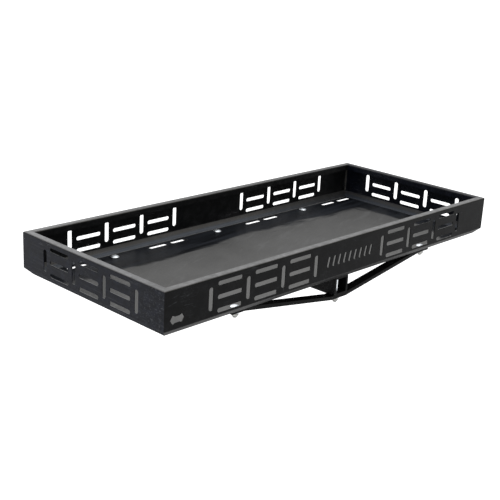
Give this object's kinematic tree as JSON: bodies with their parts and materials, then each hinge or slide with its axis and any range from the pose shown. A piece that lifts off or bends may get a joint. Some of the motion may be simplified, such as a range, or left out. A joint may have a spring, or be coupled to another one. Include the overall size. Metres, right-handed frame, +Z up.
{
  "type": "hitch cargo carrier",
  "caption": "Black folded-sheet cargo tray with slotted walls, bolted with flat-bar braces on a square shank that slides into a vehicle's hitch receiver.",
  "frame": {"origin": "centre of the cross hole for the hitch pin, on the middle line of the square shank", "axes": "+X along the tray's length to the right seen from behind the vehicle, +Y along the shank towards the vehicle, +Z up"},
  "size_m": [1.22, 0.616, 0.1823],
  "materials": {
    "black_coat": "satin black powder coat",
    "zinc": "bright zinc plate"
  },
  "bodies": {
    "root": {"floor_pan": "black_coat", "front_wall": "black_coat", "rear_wall": "black_coat", "left_wall": "black_coat", "right_wall": "black_coat", "weld_front_left": "black_coat", "weld_front_right": "black_coat", "weld_rear_left": "black_coat", "weld_rear_right": "black_coat", "shank_tube": "black_coat", "front_brace": "black_coat", "rear_brace": "black_coat", "front_outer_bolts": "zinc", "front_centre_bolt": "zinc", "rear_outer_bolts": "zinc", "rear_centre_bolt": "zinc", "front_washers": "zinc", "rear_washers": "zinc", "front_nuts": "zinc", "rear_nuts": "zinc"}
  },
  "joints": []
}
